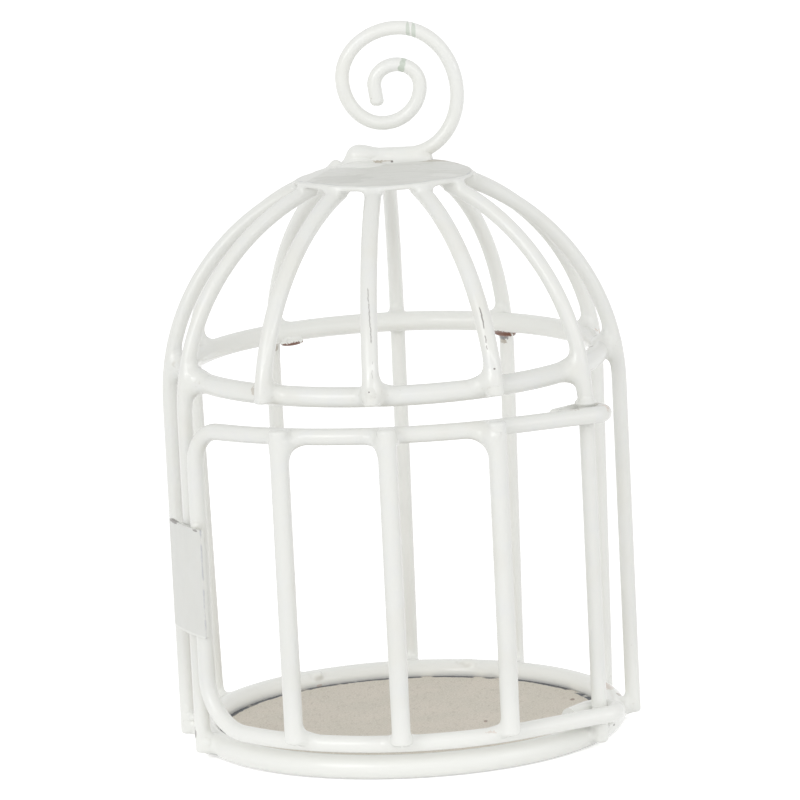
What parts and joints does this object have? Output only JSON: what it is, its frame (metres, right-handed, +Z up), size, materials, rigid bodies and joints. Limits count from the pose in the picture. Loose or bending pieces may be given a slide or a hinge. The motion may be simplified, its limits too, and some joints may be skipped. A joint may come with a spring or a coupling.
{
  "type": "bird cage",
  "caption": "Small domed wire bird cage with a bowed barred door that swings on one post, a lapping latch plate, a round cap and a flat spiral scroll on top.",
  "frame": {"origin": "on the ground plane, at the middle of the base ring and the floor", "axes": "+Z up the cage's axis, -Y out through the door, +X towards the post that the door hangs on"},
  "size_m": [0.0586, 0.0604, 0.0897],
  "materials": {
    "wire": "satin white dipped paint over steel wire",
    "sheet": "satin grey-white paint over steel sheet",
    "board": "matt grey-brown board"
  },
  "bodies": {
    "cage": {"base_ring": "wire", "floor_disc": "board", "upper_ring": "wire", "cap_plate": "sheet", "scroll_finial": "wire", "full_rib_03": "wire", "full_rib_04": "wire", "full_rib_05": "wire", "full_rib_06": "wire", "full_rib_07": "wire", "full_rib_08": "wire", "full_rib_09": "wire", "full_rib_10": "wire", "full_rib_11": "wire", "short_rib_01": "wire", "short_rib_02": "wire", "short_rib_12": "wire"},
    "door": {"door_frame": "wire", "latch_plate": "sheet", "door_bar_1": "wire", "door_bar_2": "wire", "door_bar_3": "wire"}
  },
  "joints": [
    {"name": "door_swing", "type": "hinge", "parent": "cage", "child": "door", "pos_m": [0.02432, -0.01467, 0.02395], "axis": [0, 0, 1], "range_deg": [0, 180]}
  ]
}
